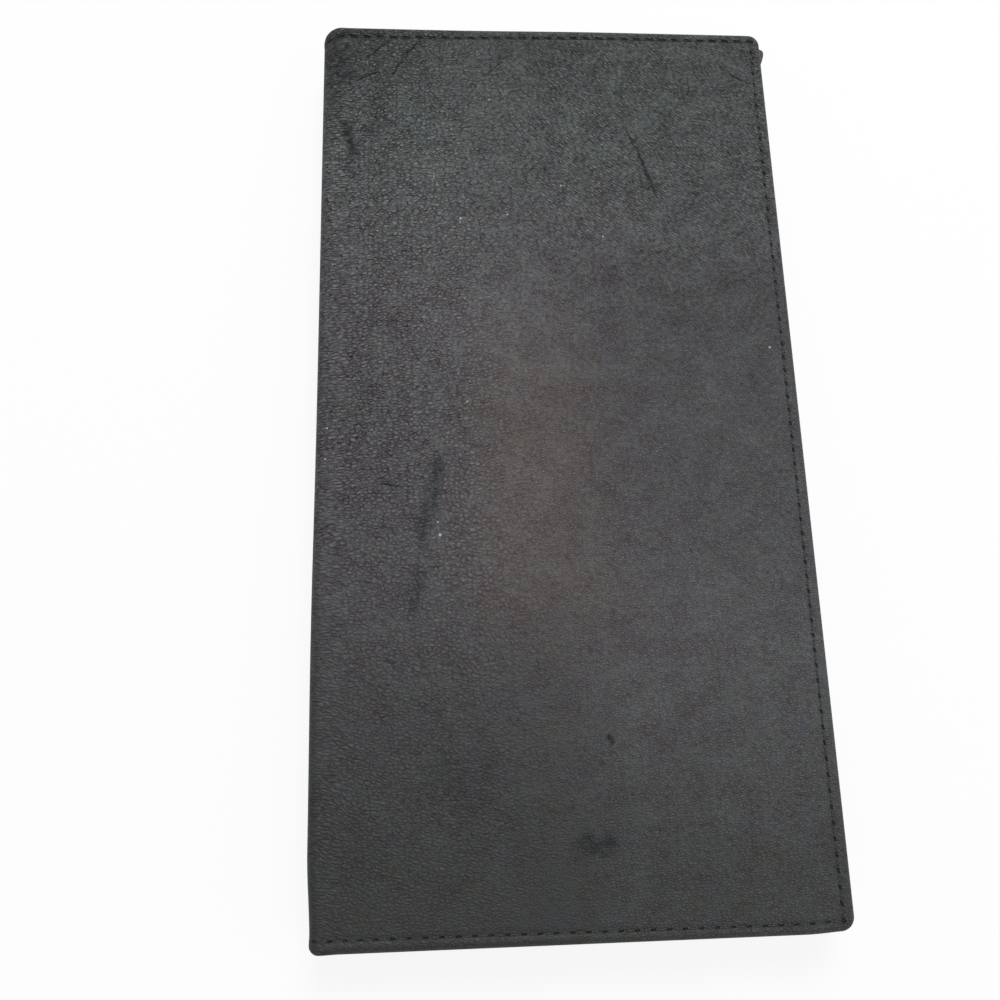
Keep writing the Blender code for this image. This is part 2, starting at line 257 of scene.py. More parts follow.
def hide_point(half, across_station, along_station):
    """Place of one point of the hide, and its place on the flat cut."""
    across, fore_ring = across_station
    along, end_ring, end = along_station
    ring = max(fore_ring, end_ring)
    turn = 0.0
    if fore_ring >= end_ring > 0:
        turn = math.radians(45 * end_ring / fore_ring)
    elif end_ring:
        turn = math.radians(90 - 45 * fore_ring / end_ring)
    roll = EDGE_ROLL
    if not fore_ring:
        roll = FOLD_ROLL + (EDGE_ROLL - FOLD_ROLL) * soft_step(across, 2 * MM, 5 * MM)
    corner = max(half.width - CORNER_RADIUS - across, HALF_LENGTH - CORNER_RADIUS - abs(along))
    out, into, length, tip = turned_edge(ring, roll, min(HEM, HEM_AT_CORNER + corner))
    (base_across, base_depth), (inward_across, inward_depth) = fold_section(across)
    outward = (math.cos(turn), end * math.sin(turn))
    plan_across = across + out * outward[0]
    plan_along = along + out * outward[1]
    lift = relief(half, plan_across, plan_along) * max(math.cos(tip), 0)
    raised = into - lift * math.cos(tip)
    pushed = out + lift * math.sin(tip)
    place = half.place(
        base_across + pushed * outward[0] + raised * inward_across + fold_bow(across, along),
        along + pushed * outward[1] + end_shift(half, across, along, abs(plan_along)),
        base_depth + raised * inward_depth,
    )
    on_cut = Vector((across + length * outward[0], along + length * outward[1], 0))
    on_cut.z = half.width - on_cut.x
    return place, on_cut / MM


CELL = 0.8 * MM
FINE_CELL = 0.3 * MM
FINE_BORDER = 5.4 * MM


def hide_stations(half):
    """Where the grid's columns and rows lie: fine beside the seams and the fold, coarser between."""
    far = half.width - CORNER_RADIUS
    fine = far - FINE_BORDER
    across = evenly(SPINE_MIDDLE, 0, CELL) + evenly(0, 6 * MM, 2 * FINE_CELL)
    across += evenly(6 * MM, fine, CELL) + evenly(fine, far, FINE_CELL) + [far]
    columns = [(place, 0) for place in across] + [(far, ring) for ring in range(1, RING + 1)]
    far = HALF_LENGTH - CORNER_RADIUS
    fine = far - FINE_BORDER
    along = evenly(-far, -fine, FINE_CELL) + evenly(-fine, fine, CELL) + evenly(fine, far, FINE_CELL)
    rows = [(-far, ring, -1) for ring in range(RING, 0, -1)]
    rows += [(place, 0, 0) for place in along + [far]]
    rows += [(far, ring, 1) for ring in range(1, RING + 1)]
    return columns, rows


def laid_sheet(name, half, faces_in, columns, rows, place_of, thickness, edge=0):
    """A grid laid out by place_of, which gives each point and its place on the flat cut in millimetres.

    It gets its thickness behind the face that shows, and where edge is given its rims are rounded.
    """
    laid = bmesh.new()
    bmesh.ops.create_grid(laid, x_segments=len(columns) - 1, y_segments=len(rows) - 1, size=1)
    flat_cut = laid.verts.layers.float_vector.new("cut")
    for vert in laid.verts:
        column = round((vert.co.x + 1) / 2 * (len(columns) - 1))
        row = round((vert.co.y + 1) / 2 * (len(rows) - 1))
        vert.co, vert[flat_cut] = place_of(columns[column], rows[row])
    if half.is_front == faces_in:
        bmesh.ops.reverse_faces(laid, faces=laid.faces)
    laid.normal_update()
    bmesh.ops.solidify(laid, geom=laid.faces[:], thickness=thickness)
    if edge:
        rims = [rim for rim in laid.edges if rim.calc_face_angle(0) > 1]
        settings = {"affect": "EDGES", "segments": 3, "profile": 0.5, "material": -1}
        bmesh.ops.bevel(laid, geom=rims, offset=edge, **settings)
    return piece_of(name, laid)


def piece_of(name, shape, sharp_over=50):
    """Puts a bmesh into the scene, smooth except at its sharp edges."""
    data = bpy.data.meshes.new(name)
    shape.to_mesh(data)
    shape.free()
    data.shade_smooth()
    data.set_sharp_from_angle(angle=math.radians(sharp_over))
    made = bpy.data.objects.new(name, data)
    bpy.context.scene.collection.objects.link(made)
    return made


def bend(piece, half, on_half, on_spine):
    """Bakes a piece's placing into its points; it does not make it turn with a crease of the fold.

    on_half and on_spine, each how far across from the fold's outside and how far in from the half's face,
    are not used.
    """
    start = half.place(on_half[0], 0, on_half[1])
    end = half.place(on_spine[0], 0, on_spine[1])
    if half.is_front:
        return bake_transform(piece)
    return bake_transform(piece)


class Shade:
    """A socket in a material: arithmetic on it adds Math nodes, and node adds any other kind."""

    def __init__(self, tree, socket=None):
        self.tree = tree
        self.socket = socket

    def node(self, kind, settings, inputs, output=0):
        """Adds a node, with its settings first and then its sockets' values or links."""
        made = self.tree.nodes.new("ShaderNode" + kind)
        for name, value in settings.items():
            setattr(made, name, value)
        for name, value in inputs.items():
            if isinstance(value, Shade):
                self.tree.links.new(value.socket, made.inputs[name])
            elif value is not None:
                made.inputs[name].default_value = value
        return Shade(self.tree, made.outputs[output])

    def math(self, operation, first, second=None, third=None):
        inputs = {0: first, 1: second, 2: third}
        return self.node("Math", {"operation": operation}, inputs)

    def __add__(self, other):
        return self.math("ADD", self, other)

    def __radd__(self, other):
        return self.math("ADD", other, self)

    def __sub__(self, other):
        return self.math("SUBTRACT", self, other)

    def __rsub__(self, other):
        return self.math("SUBTRACT", other, self)

    def __mul__(self, other):
        return self.math("MULTIPLY", self, other)

    def __rmul__(self, other):
        return self.math("MULTIPLY", other, self)

    def __truediv__(self, other):
        return self.math("DIVIDE", self, other)

    def __abs__(self):
        return self.math("ABSOLUTE", self)

    def least(self, other):
        return self.math("MINIMUM", self, other)

    def most(self, other):
        return self.math("MAXIMUM", self, other)

    def ramp(self, low, high):
        """0 below low, 1 above high, and a soft change between them; low may be the larger."""
        settings = {"interpolation_type": "SMOOTHSTEP"}
        return self.node("MapRange", settings, {"Value": self, "From Min": low, "From Max": high})

    def xyz(self):
        """The three parts of a vector."""
        parts = self.node("SeparateXYZ", {}, {0: self}).socket.node
        return [Shade(self.tree, part) for part in parts.outputs]

    def vector(self, x, y, z=0):
        return self.node("CombineXYZ", {}, {0: x, 1: y, 2: z})

    def cloud(self, place, size, detail=2.0):
        """Noise about 0, from -1 to 1, whose patches are about size across."""
        inputs = {"Vector": place, "Scale": 1 / size, "Detail": detail, "Roughness": 0.5}
        return (self.node("TexNoise", {"normalize": True}, inputs) - 0.5) * 2

    def mix(self, share, first, second):
        """A colour between two."""
        inputs = {"Factor": share, 6: first, 7: second}
        return self.node("Mix", {"data_type": "RGBA", "clamp_factor": True}, inputs, 2)

    def tint(self, colour, amount):
        """A colour times a number."""
        inputs = {0: colour, "Scale": amount}
        return self.node("VectorMath", {"operation": "SCALE"}, inputs)


def finish(name, **constants):
    """A new material with its plain values set, and the start of its expressions."""
    made = bpy.data.materials.new(name)
    made.use_nodes = True
    shader = made.node_tree.nodes["Principled BSDF"]
    for socket, value in constants.items():
        shader.inputs[socket.replace("_", " ").title().replace("Ior", "IOR")].default_value = value
    return made, Shade(made.node_tree)


def feed(made, **links):
    """Links what varies over the surface to the shader's sockets."""
    shader = made.node_tree.nodes["Principled BSDF"]
    for socket, value in links.items():
        made.node_tree.links.new(value.socket, shader.inputs[socket.replace("_", " ").title()])


def bump(shade, height_mm):
    """A normal from a height in millimetres."""
    return shade.node("Bump", {}, {"Strength": 1.0, "Distance": MM, "Height": height_mm})


FORE_HOLE = (0.26, 0.48, -0.22)  # a needle hole's half width and half length, and its slant
BOTTOM_HOLE = (0.20, 0.50, 0.06)
# The top line's holes are drawn out into dashes, which paint the shade in its groove
TOP_HOLE_SHADE = (0.37, 0.90, 0.08)


def needle_holes(shade, off_line, along_line, width, length, slant):
    """1 in the needle holes of a stitch line, from the distances off it and along it in millimetres."""
    pitch = STITCH_PITCH / MM
    past_hole = shade.math("WRAP", along_line, pitch / 2, -pitch / 2)
    across_hole = abs(off_line + past_hole * slant).ramp(width, width * 0.5)
    return across_hole * abs(past_hole).ramp(length, length * 0.6)


def end_line(shade, u, v):
    """Signed distance in millimetres from the nearer end's stitch line."""
    drift_top = TOP_SEAM_DRIFT / MM * u.ramp(TOP_DRIFT_END / MM, 0)
    drift_bottom = BOTTOM_SEAM_DRIFT / MM * u.ramp(BOTTOM_DRIFT_END / MM, 0)
    top = (HALF_LENGTH - TOP_SEAM) / MM - drift_top - v
    bottom = (HALF_LENGTH - BOTTOM_SEAM) / MM - drift_bottom + v
    return top.least(bottom)


def seam_shade(shade, u, v, in_from_fore):
    """The needle holes, painted near black as the shade inside them, and the painted shade along the seams'
    grooves between them.
    """
    fore = in_from_fore - FORE_SEAM / MM
    end = end_line(shade, u, v)
    start = (BOTTOM_SEAM - HALF_LENGTH) / MM
    between_ends = v.ramp(start - 0.9, start - 0.3) * v.ramp(0.9 - start, 0.3 - start)
    inside_fore = in_from_fore.ramp(1.4, 2.0)
    holes = needle_holes(shade, fore, v - start, *FORE_HOLE) * between_ends
    holes = holes.most(needle_holes(shade, end, fore, *BOTTOM_HOLE) * inside_fore * v.ramp(1, -1))
    holes = holes.most(needle_holes(shade, end, fore, *TOP_HOLE_SHADE) * inside_fore * v.ramp(-1, 1))
    # Painted shade along the grooves, darkest along the top
    fore_groove_shade = abs(fore).ramp(0.42, 0.1) * between_ends * (0.22 + 0.18 * v.ramp(30, 80))
    end_groove_shade = abs(end).ramp(0.42, 0.1) * inside_fore * (0.15 + 0.42 * v.ramp(0, 30))
    return holes, fore_groove_shade.most(end_groove_shade)


BEAD = (0.98, 0.62)  # cells of the grain in millimetres, across and along
FINE_BEAD = (0.72, 0.48)
RIDGE = (2.0, 0.48)
STREAK = (1.5, 0.50)
STREAK_LEAN = math.radians(35)
LARGE_CELL = (1.55, 1.1)


def outlines(shade, x, y, cell, width):
    """The creases between cells of a size: 1 in the middle of a crease and 0 on the cells."""
    settings = {"voronoi_dimensions": "2D", "feature": "DISTANCE_TO_EDGE"}
    inputs = {"Vector": shade.vector(x / cell[0], y / cell[1]), "Scale": 1.0}
    return shade.node("TexVoronoi", settings, inputs, "Distance").ramp(width, 0.0)


def grain(shade, u, v):
    """Pebbles and their creases, about 0: beads in wandering rows by the fold, finer to the fore edge."""
    flat = shade.vector(u, v)
    ragged = shade.cloud(flat, 1.1, 3)
    depth = 0.8 + shade.cloud(flat, 0.9, 2) * 0.8 + shade.cloud(flat, 5.0, 2) * 0.5
    # The rows lean down to the right near the bottom of the fold
    row = v + u * v.ramp(-5, -60) * 0.26 + shade.cloud(flat, 12.0, 2) * 1.4 + ragged * 0.36
    finely = shade.cloud(flat, 0.45, 2) * 0.16
    # Beside the fold the beads are drawn out across it
    drawn_out = u + (6 - u).most(0).least(6) * 0.42 + ragged * 0.65 + finely
    beads = outlines(shade, drawn_out, row + finely, BEAD, 0.38)
    ridges = shade.cloud(shade.vector(u / RIDGE[0], row / RIDGE[1]), 1.0, 3)
    fine = outlines(shade, u + ragged * 0.4, v + ragged * 0.35, FINE_BEAD, 0.42)
    # Streaks run down to the right towards the top fore corner
    sine, cosine = math.sin(STREAK_LEAN), math.cos(STREAK_LEAN)
    down_right = u * cosine - v * sine + ragged * 0.4
    streaks = outlines(shade, down_right, u * sine + v * cosine, STREAK, 0.38)
    at_streaks = u.ramp(22, 52) * v.ramp(5, 60)
    to_fore = u.ramp(24, 58)
    by_fold = (1 - to_fore) * (0.76 + u.ramp(50, 5) * (v.ramp(-52, 4) * 0.64 + v.ramp(45, 80) * 0.2))
    coarse = ((0.48 - beads * depth) * 0.76 + ridges * 0.54) * by_fold
    finer = (0.42 - fine * depth) * (0.56 - at_streaks * 0.30) + ridges * 0.22 * v.ramp(20, -10)
    all_finer = finer * to_fore + (0.38 - streaks * depth) * at_streaks * 0.92
    return (coarse + all_finer) * (1 - 0.35 * v.ramp(-74, -90) * u.ramp(60, 40))


def fine_cracks(shade, u, v):
    """Dark outlines of larger cells towards the top of the fold, and a fan of creases in its corner."""
    flat = shade.vector(u, v)
    ragged = shade.cloud(flat, 1.3, 3)
    large = outlines(shade, u + ragged * 0.7, v + ragged * 0.5, LARGE_CELL, 0.16)
    broken = 0.35 + 0.65 * shade.cloud(flat, 1.6, 2).ramp(-0.3, 0.2)
    large = large * broken * v.ramp(0, 55) * u.ramp(80, 25)
    # The fan runs down to the left from the top seam
    fan_place = shade.vector((u + v) / 9.0, (u * 0.62 - v * 0.78) / 0.75)
    fan = shade.cloud(fan_place, 1.0, 2).ramp(0.1, 0.4) * u.ramp(27, 15) * v.ramp(60, 76)
    return large.most(fan)


def nearest(shade, u, v, lines, core=0.0):
    """The strongest of some lines, each given by its ends, its width and its strength."""
    made = [
        streak(shade, u, v, start, end, width, core) * strength for start, end, width, strength in lines
    ]
    for line in made[1:]:
        made[0] = made[0].most(line)
    return made[0]


def streak(shade, u, v, start, end, width, core):
    """1 along a line between two places in millimetres, fading at its ends and outside its core."""
    middle = (Vector(start) + Vector(end)) / 2
    run = Vector(end) - Vector(start)
    half_run = run.length / 2
    run.normalize()
    along = (u - middle.x) * run.x + (v - middle.y) * run.y
    off = (u - middle.x) * -run.y + (v - middle.y) * run.x
    return abs(off).ramp(width, width * core) * abs(along).ramp(half_run * 1.1, half_run * 0.55)


# Dye colours; the blue, warm and top ones hold painted reflections
PURPLE_DYE = (0.0560, 0.0526, 0.0582, 1)
DYE_WITH_BLUE_REFLECTION = (0.0524, 0.0524, 0.0572, 1)
DYE_WITH_WARM_REFLECTION = (0.0612, 0.0527, 0.0508, 1)
DYE_WITH_GREEN_REFLECTION = (0.0460, 0.0525, 0.0512, 1)
BOTTOM_DYE = (0.0498, 0.0520, 0.0512, 1)
SMEARED = (0.043, 0.050, 0.058, 1)
DYE_GONE = (0.42, 0.42, 0.41, 1)
ROSY = 0.11  # how far the dye's colour strays, as a share of it
BLUISH = 0.18


def dye(shade, u, v, flat):
    """The hide's colour: warm in the middle with a painted reflection, purple beside that, bluer to the
    fore edge with a painted reflection, and greener at the ends with a painted reflection at the top.
    """
    blotches = shade.cloud(flat, 3.5, 2) * 0.5
    middle = v.ramp(80, 20) * v.ramp(-85, -30) + shade.cloud(flat, 26.0, 3) * 0.5 + blotches * 0.4
    # The warm patch in the middle is a painted reflection, and the blue towards the fore edge is another
    warm = u.ramp(20, 38) * u.ramp(66, 46) * v.ramp(-54, -28) * v.ramp(36, 2) + blotches
    cool = shade.mix(u.ramp(55, 88) + blotches * 0.5, PURPLE_DYE, DYE_WITH_BLUE_REFLECTION)
    # This mix paints the warm reflection into the dye
    worn = shade.mix(warm, cool, DYE_WITH_WARM_REFLECTION)
    # The top's green is a painted reflection
    ends = shade.mix(v.ramp(-40, 40), BOTTOM_DYE, DYE_WITH_GREEN_REFLECTION)
    # Rosy and bluish stains, stronger towards the bottom
    stained = 1 + v.ramp(-25, -60) * 0.6
    rosy = shade.cloud(flat, 5.0, 3) * stained * ROSY
    bluish = shade.cloud(shade.vector(v, u), 4.5, 3) * stained * BLUISH
    tinge = shade.vector(1 + rosy, 1 - rosy * 0.5, 1 + bluish)
    return shade.node("VectorMath", {"operation": "MULTIPLY"}, {0: shade.mix(middle, ends, worn), 1: tinge})


def tone_and_painted_light(shade, u, v, flat):
    """How light the hide is: its own tone with painted light in it, darker to the bottom of the fold's side
    as a painted falloff, paler where a highlight is painted, and darker round the fold as painted shade.
    """
    # A painted falloff of the light: darker towards the bottom
    painted_falloff = v.ramp(-95, 0) * 0.46
    fore_top = v.ramp(48, -5) * 0.24 + v.ramp(28, 45) * 0.40 - 0.27
    by_fore = u.ramp(36, 62) * (fore_top + v.ramp(-10, -45) * 0.41 - v.ramp(-66, -82) * 0.17)
    # A painted highlight in patches, most towards the top of the fold's side
    painted_highlight = u.ramp(80, 26) * v.ramp(6, 52) * v.ramp(98, 68) * 0.38
    painted_highlight = painted_highlight + u.ramp(10, 20) * u.ramp(60, 44) * v.ramp(-2, 12) * v.ramp(36, 24) * 0.12
    painted_highlight = painted_highlight + u.ramp(44, 22) * v.ramp(-42, -20) * 0.07
    painted_highlight = painted_highlight + u.ramp(16, 32) * u.ramp(66, 44) * v.ramp(-40, -24) * v.ramp(4, -10) * 0.15
    low_down = u.ramp(64, 46) * v.ramp(-34, -54) * 0.09
    at_top = v.ramp(56, 90) * (0.13 + 0.24 * u.ramp(24, 2))
    clouds = shade.cloud(flat, 15.0, 4) * 0.13 + shade.cloud(flat, 4.0, 3) * 0.08
    tone = (0.64 + painted_falloff + clouds) * (1 + by_fore + painted_highlight - low_down) * (1 - at_top)
    # The round of the fold is painted darker, as the shade where it turns away from the lamp
    return tone * (0.72 + 0.28 * u.ramp(-1.5, 2.5))


def hide_finish(name, with_marks):
    """Charcoal cowhide: a satin finish over fine pebbles, cracked into small creases near the fold."""
    made, shade = finish(name, specular_ior_level=0.32)
    cut = shade.node("Attribute", {"attribute_name": "cut"}, {}, "Vector")
    u, v, in_from_fore = cut.xyz()
    flat = shade.vector(u, v)
    pebbles = grain(shade, u, v)
    cracks = fine_cracks(shade, u, v)
    sparkle = shade.cloud(flat, 0.24, 1) * (0.55 + 0.15 * u.ramp(40, 10))
    holes, groove_shade = seam_shade(shade, u, v, in_from_fore)
    height = pebbles * 0.20 - cracks * 0.10 - holes * 0.35 + sparkle * 0.03
    base = dye(shade, u, v, flat)
    tone = tone_and_painted_light(shade, u, v, flat) * (1 + pebbles + sparkle) * (1 - cracks * 0.6)
    # The holes are painted near black as the shade in them, and the grooves get their painted shade
    tone = tone * (1 - holes * 0.95) * (1 - groove_shade)
    if with_marks:
        # Smears and the creases' painted shade darken the hide; scuffs and a painted highlight lighten it
        smears_and_crease_shade, scuffs_and_highlight, dots = marks(shade, u, v, flat)
        base = shade.mix(smears_and_crease_shade, base, SMEARED)
        tone = tone * (1 - smears_and_crease_shade) * (1 + scuffs_and_highlight * 0.5)
    colour = shade.tint(base, tone)
    if with_marks:
        colour = shade.mix(dots, colour, DYE_GONE)
    feed(
        made,
        base_color=colour,
        roughness=0.54 - pebbles * 0.2 + shade.cloud(flat, 7.0, 3) * 0.06,
        normal=bump(shade, height),
    )
    return made


# Marks on the front: where each starts and ends, its half width, and how strong it is
SMEARS = (
    ((4.4, 69.4), (7.2, 59.0), 1.7, 1.00),
    ((23.6, -4.0), (21.9, -17.5), 2.6, 0.58),
    ((22.4, -8.0), (19.8, -24.5), 2.4, 0.54),
    ((20.4, -25.5), (18.2, -36.0), 2.0, 0.54),
    ((47.6, -74.2), (50.2, -78.2), 2.9, 0.76),
    ((53.6, -74.9), (50.2, -78.0), 2.7, 0.74),
    ((59.8, -81.0), (62.0, -83.8), 2.2, 0.34),
    ((53.0, -57.4), (54.1, -59.4), 1.0, 0.95),
    ((20.0, -62.0), (33.0, -68.0), 9.0, 0.22),
    ((85.4, 13.0), (86.4, 7.5), 1.2, 0.40),
    ((10.0, 64.0), (14.0, 70.0), 4.0, 0.38),
    ((2.0, 87.0), (6.0, 77.0), 5.0, 0.40),
)
# Creases, painted dark as the shade in them
CREASES = (
    ((19.9, 88.6), (17.3, 85.1), 0.34, 1.00),
    ((17.6, 85.5), (14.4, 79.6), 0.30, 0.90),
    ((11.9, 80.9), (6.6, 78.2), 0.34, 1.00),
    ((13.9, 88.9), (9.0, 84.0), 0.30, 1.00),
    ((5.3, 88.6), (4.5, 85.6), 0.28, 0.75),
    ((40.2, 86.6), (33.8, 79.4), 0.30, 0.60),
    ((60.3, 74.8), (63.9, 66.2), 0.40, 0.22),
    ((63.2, 68.0), (66.6, 60.2), 0.44, 0.70),
    ((65.6, 63.0), (68.5, 53.4), 0.48, 0.85),
    ((67.9, 55.6), (69.1, 51.0), 0.38, 0.60),
    ((86.4, 81.9), (92.6, 78.9), 0.32, 0.85),
    ((12.0, -10.1), (16.4, -11.2), 0.40, 0.75),
    ((13.2, -43.4), (15.4, -44.1), 0.42, 0.55),
    ((37.2, 67.0), (39.0, 65.4), 0.36, 0.50),
    ((17.5, 45.4), (16.7, 39.6), 0.32, 0.35),
)
SCUFFS_AND_HIGHLIGHT = (
    ((27.0, 46.6), (30.5, 45.2), 0.8, 0.8),
    ((30.0, 45.4), (39.6, 47.0), 0.9, 0.8),
    ((37.4, 46.4), (39.4, 47.2), 0.7, 0.8),
    ((17.0, 50.8), (22.0, 48.8), 1.4, 0.6),
    ((20.0, 53.4), (24.6, 56.0), 1.8, 0.8),
    # A painted highlight on the lit side of the wrinkle at the top fore corner
    ((86.2, 82.8), (92.6, 80.2), 0.35, 0.4),
    ((70.2, 31.8), (71.3, 28.8), 0.30, 1.6),
)
SPECKS = (  # the place and size of each pinprick where the dye has come off
    (23.6, -20.5, 0.36), (23.2, -18.0, 0.2), (49.4, 53.4, 0.24), (57.6, 41.7, 0.26), (35.0, 73.9, 0.2),
    (11.7, 42.8, 0.2), (29.2, 6.0, 0.2), (90.1, 17.3, 0.26), (2.3, 0.8, 0.2), (2.1, -5.4, 0.22),
    (28.5, 45.7, 0.25), (28.4, 44.9, 0.18), (38.1, 46.6, 0.22), (23.2, 55.4, 0.19), (23.8, 53.6, 0.17),
)


def marks(shade, u, v, flat):
    """Dark smears, pale scuffs and pinpricks that years of use have left on the front, and creases painted
    dark as the shade in them, one with its lit side painted pale.
    """
    ragged = shade.cloud(flat, 1.3, 3).ramp(-0.8, 0.3)
    wander = shade.cloud(flat, 2.6, 2) * 0.45 + shade.cloud(flat, 0.8, 2) * 0.4
    gaps = 0.6 + 0.4 * shade.cloud(flat, 1.1, 2).ramp(-0.4, 0.0)
    smears_and_crease_shade = nearest(shade, u, v, SMEARS) * ragged
    # The creases' painted shade
    smears_and_crease_shade = smears_and_crease_shade.most(nearest(shade, u + wander, v, CREASES, 0.4) * gaps)
    # Pale scuffs, and one painted highlight
    scuffs_and_highlight = nearest(shade, u, v, SCUFFS_AND_HIGHLIGHT) * (0.35 + 0.65 * shade.cloud(flat, 0.7, 2).ramp(-0.1, 0.4))
    dots = None
    for across, along, size in SPECKS:
        inputs = {0: flat, 1: (across, along, 0)}
        dot = shade.node("VectorMath", {"operation": "DISTANCE"}, inputs, "Value").ramp(size, size * 0.5)
        dots = dots.most(dot) if dots else dot
    return smears_and_crease_shade, scuffs_and_highlight, dots


def outer_hide(half, name):
    """The hide over one half's face, round its turned edges and up to the middle of the fold."""
    columns, rows = hide_stations(half)
    return laid_sheet(name, half, False, columns, rows, lambda *at: hide_point(half, *at), SKIN)


outer_hide_back = outer_hide(BACK, "outer_hide_back")
outer_hide_front = outer_hide(FRONT, "outer_hide_front")
outer_hide_back.data.materials.append(hide_finish("charcoal_hide_back", False))
outer_hide_front.data.materials.append(hide_finish("charcoal_hide_front", True))
bend(outer_hide_back, BACK, *HIDE_BEND)
bend(outer_hide_front, FRONT, *HIDE_BEND)
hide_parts("back_cover", "spine_cover")
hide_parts("front_cover")


# Outer stitches. One line of waxed charcoal thread goes round three sides of each half and over the
# ends of the fold. It is a little darker than the hide, as painted shade along its groove, and each stitch
# lies sunk in the groove it has pulled.

THREAD_RADIUS = 0.16 * MM
STITCH_LENGTH = STITCH_PITCH - 1.1 * MM


def on_hide(half, across, along):
    """Place and outward direction on the outer face of the hide."""
    (base_across, base_depth), (inward_across, inward_depth) = fold_section(across)
    lift = relief(half, across, along)
    place = half.place(
        base_across - lift * inward_across + fold_bow(across, along),
        along + end_shift(half, across, along, abs(along)),
        base_depth - lift * inward_depth,
    )
    return place, half.out(-inward_across, 0, -inward_depth)


def seam_holes(half):
    """Needle holes in order: in along the bottom, up the fore edge, back along the top to the fold."""
    far = half.width - FORE_SEAM
    to_fold = int((far - SPINE_MIDDLE) / STITCH_PITCH)
    ends = [far - STITCH_PITCH * step for step in range(to_fold + 1)]
    bottom = [(across, end_seam(across, -1) - HALF_LENGTH) for across in reversed(ends)]
    low = BOTTOM_SEAM - HALF_LENGTH
    fore = [(far, low + STITCH_PITCH * step) for step in range(1, FORE_STITCHES)]
    top = [(across, HALF_LENGTH - end_seam(across, 1)) for across in ends]
    return bottom + fore + top


SUNK_OUTSIDE = 1.05  # how far a stitch lies sunk, as a share of its thickness above the surface
SUNK_INSIDE = 0.6


def add_stitch(mesh, strand, start, end, up, sunk):
    """A rice-shaped stitch between two needle holes; strand keeps its own coordinates for the twist."""
    run = end - start
    ahead = run.normalized()
    side = up.cross(ahead).normalized()
    turned = Matrix((side, ahead.cross(side), ahead)).transposed().to_4x4()
    middle = (start + end) / 2 + up * (THREAD_RADIUS * (1 - sunk))
    length = run.length * STITCH_LENGTH / STITCH_PITCH / 2
    size = Matrix.Diagonal((THREAD_RADIUS, THREAD_RADIUS, length, 1))
    grown = bmesh.ops.create_uvsphere(mesh, u_segments=8, v_segments=6, radius=1)
    for vert in grown["verts"]:
        vert[strand] = Vector((vert.co.x, vert.co.y, vert.co.z * length / MM))
    bmesh.ops.transform(mesh, matrix=Matrix.Translation(middle) @ turned @ size, verts=grown["verts"])


def thread_line(name, pairs, sunk):
    """One piece with a stitch for every pair of holes, each given with its outward direction."""
    mesh = bmesh.new()
    strand = mesh.verts.layers.float_vector.new("strand")
    for (start, up), (end, _) in pairs:
        add_stitch(mesh, strand, start, end, up, sunk)
    made = piece_of(name, mesh, 180)
    made.data.materials.append(waxed_thread)
    return made


def thread_finish():
    """Waxed polyester thread of three plies, a little darker than the hide as painted shade along its
    groove.
    """
    made, shade = finish("waxed_thread", specular_ior_level=0.4, roughness=0.42)
    x, y, along = shade.node("Attribute", {"attribute_name": "strand"}, {}, "Vector").xyz()
    turn = shade.math("ARCTAN2", y, x) * 3 + along * 9.0
    ply = shade.math("SINE", turn) * 0.5 + 0.5
    # A little darker than the hide: painted shade of the groove it lies in
    colour = shade.mix(ply, (0.024, 0.024, 0.026, 1), (0.048, 0.048, 0.051, 1))
    feed(made, base_color=colour, normal=bump(shade, ply * 0.05))
    return made


waxed_thread = thread_finish()
for half, name in ((BACK, "stitches_back"), (FRONT, "stitches_front")):
    holes = [on_hide(half, across, along) for across, along in seam_holes(half)]
    bend(thread_line(name, list(zip(holes, holes[1:])), SUNK_OUTSIDE), half, *HIDE_BEND)


# Stiffeners. A die-cut sheet of grey-brown fibre board lies inside each half, between the hide and its
# lining. Its matted fibres show on its faces and along its cut edges.


def board_finish():
    """Pressed fibre board, mottled, with short fibres laid along the sheet."""
    made, shade = finish("fibre_board", specular_ior_level=0.2)
    place = shade.node("TexCoord", {}, {}, "Object")
    x, y, z = shade.node("VectorMath", {"operation": "SCALE"}, {0: place, "Scale": 1 / MM}).xyz()
    fibres = shade.cloud(shade.vector(x / 0.25, y / 2.4, z), 1.0, 4)
    mottle = shade.cloud(shade.vector(x, y, z), 3.0, 3)
    colour = shade.mix(fibres * 0.5 + 0.5, (0.20, 0.17, 0.135, 1), (0.42, 0.37, 0.31, 1))
    feed(
        made,
        base_color=shade.tint(colour, 1 + mottle * 0.18),
        roughness=0.88 + fibres * 0.08,
        normal=bump(shade, fibres * 0.03),
    )
    return made


fibre_board = board_finish()
for board in ("back_board", "front_board"):
    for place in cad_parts[board].material_slots:
        place.material = fibre_board


# Linings. Black twill is glued over each board and into the fold, and over the hide's turned ends. Like
# the hide it is made in two lengths, which meet half way up the fold, one over each of its two creases.

CLOTH_CELL = 1.4 * MM
CLIMB_START = 1.7 * MM  # across from the fold, where the lining leaves the hide and climbs on to the board
CLIMB_END = 3.2 * MM
LINING_BEND = ((2.9 * MM, 1.9 * MM), (1.3 * MM, 3.9 * MM))
OVER_TURNED_END = 0.45 * MM
TURNED_END_STARTS = 82.0 * MM
TURNED_END_REACHED = 84.3 * MM


def node_span(half, node):
    """Where a node of a half lies: across from the fold, along it, and in from the outer face."""
    low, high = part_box(node)
    depths = (THICKNESS - high.z, THICKNESS - low.z) if half.is_front else (low.z, high.z)
    return (low.x - FOLD_X, high.x - FOLD_X), (low.y, high.y), depths


LINING_AT_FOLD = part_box("spine_lining")[1].x - FOLD_X


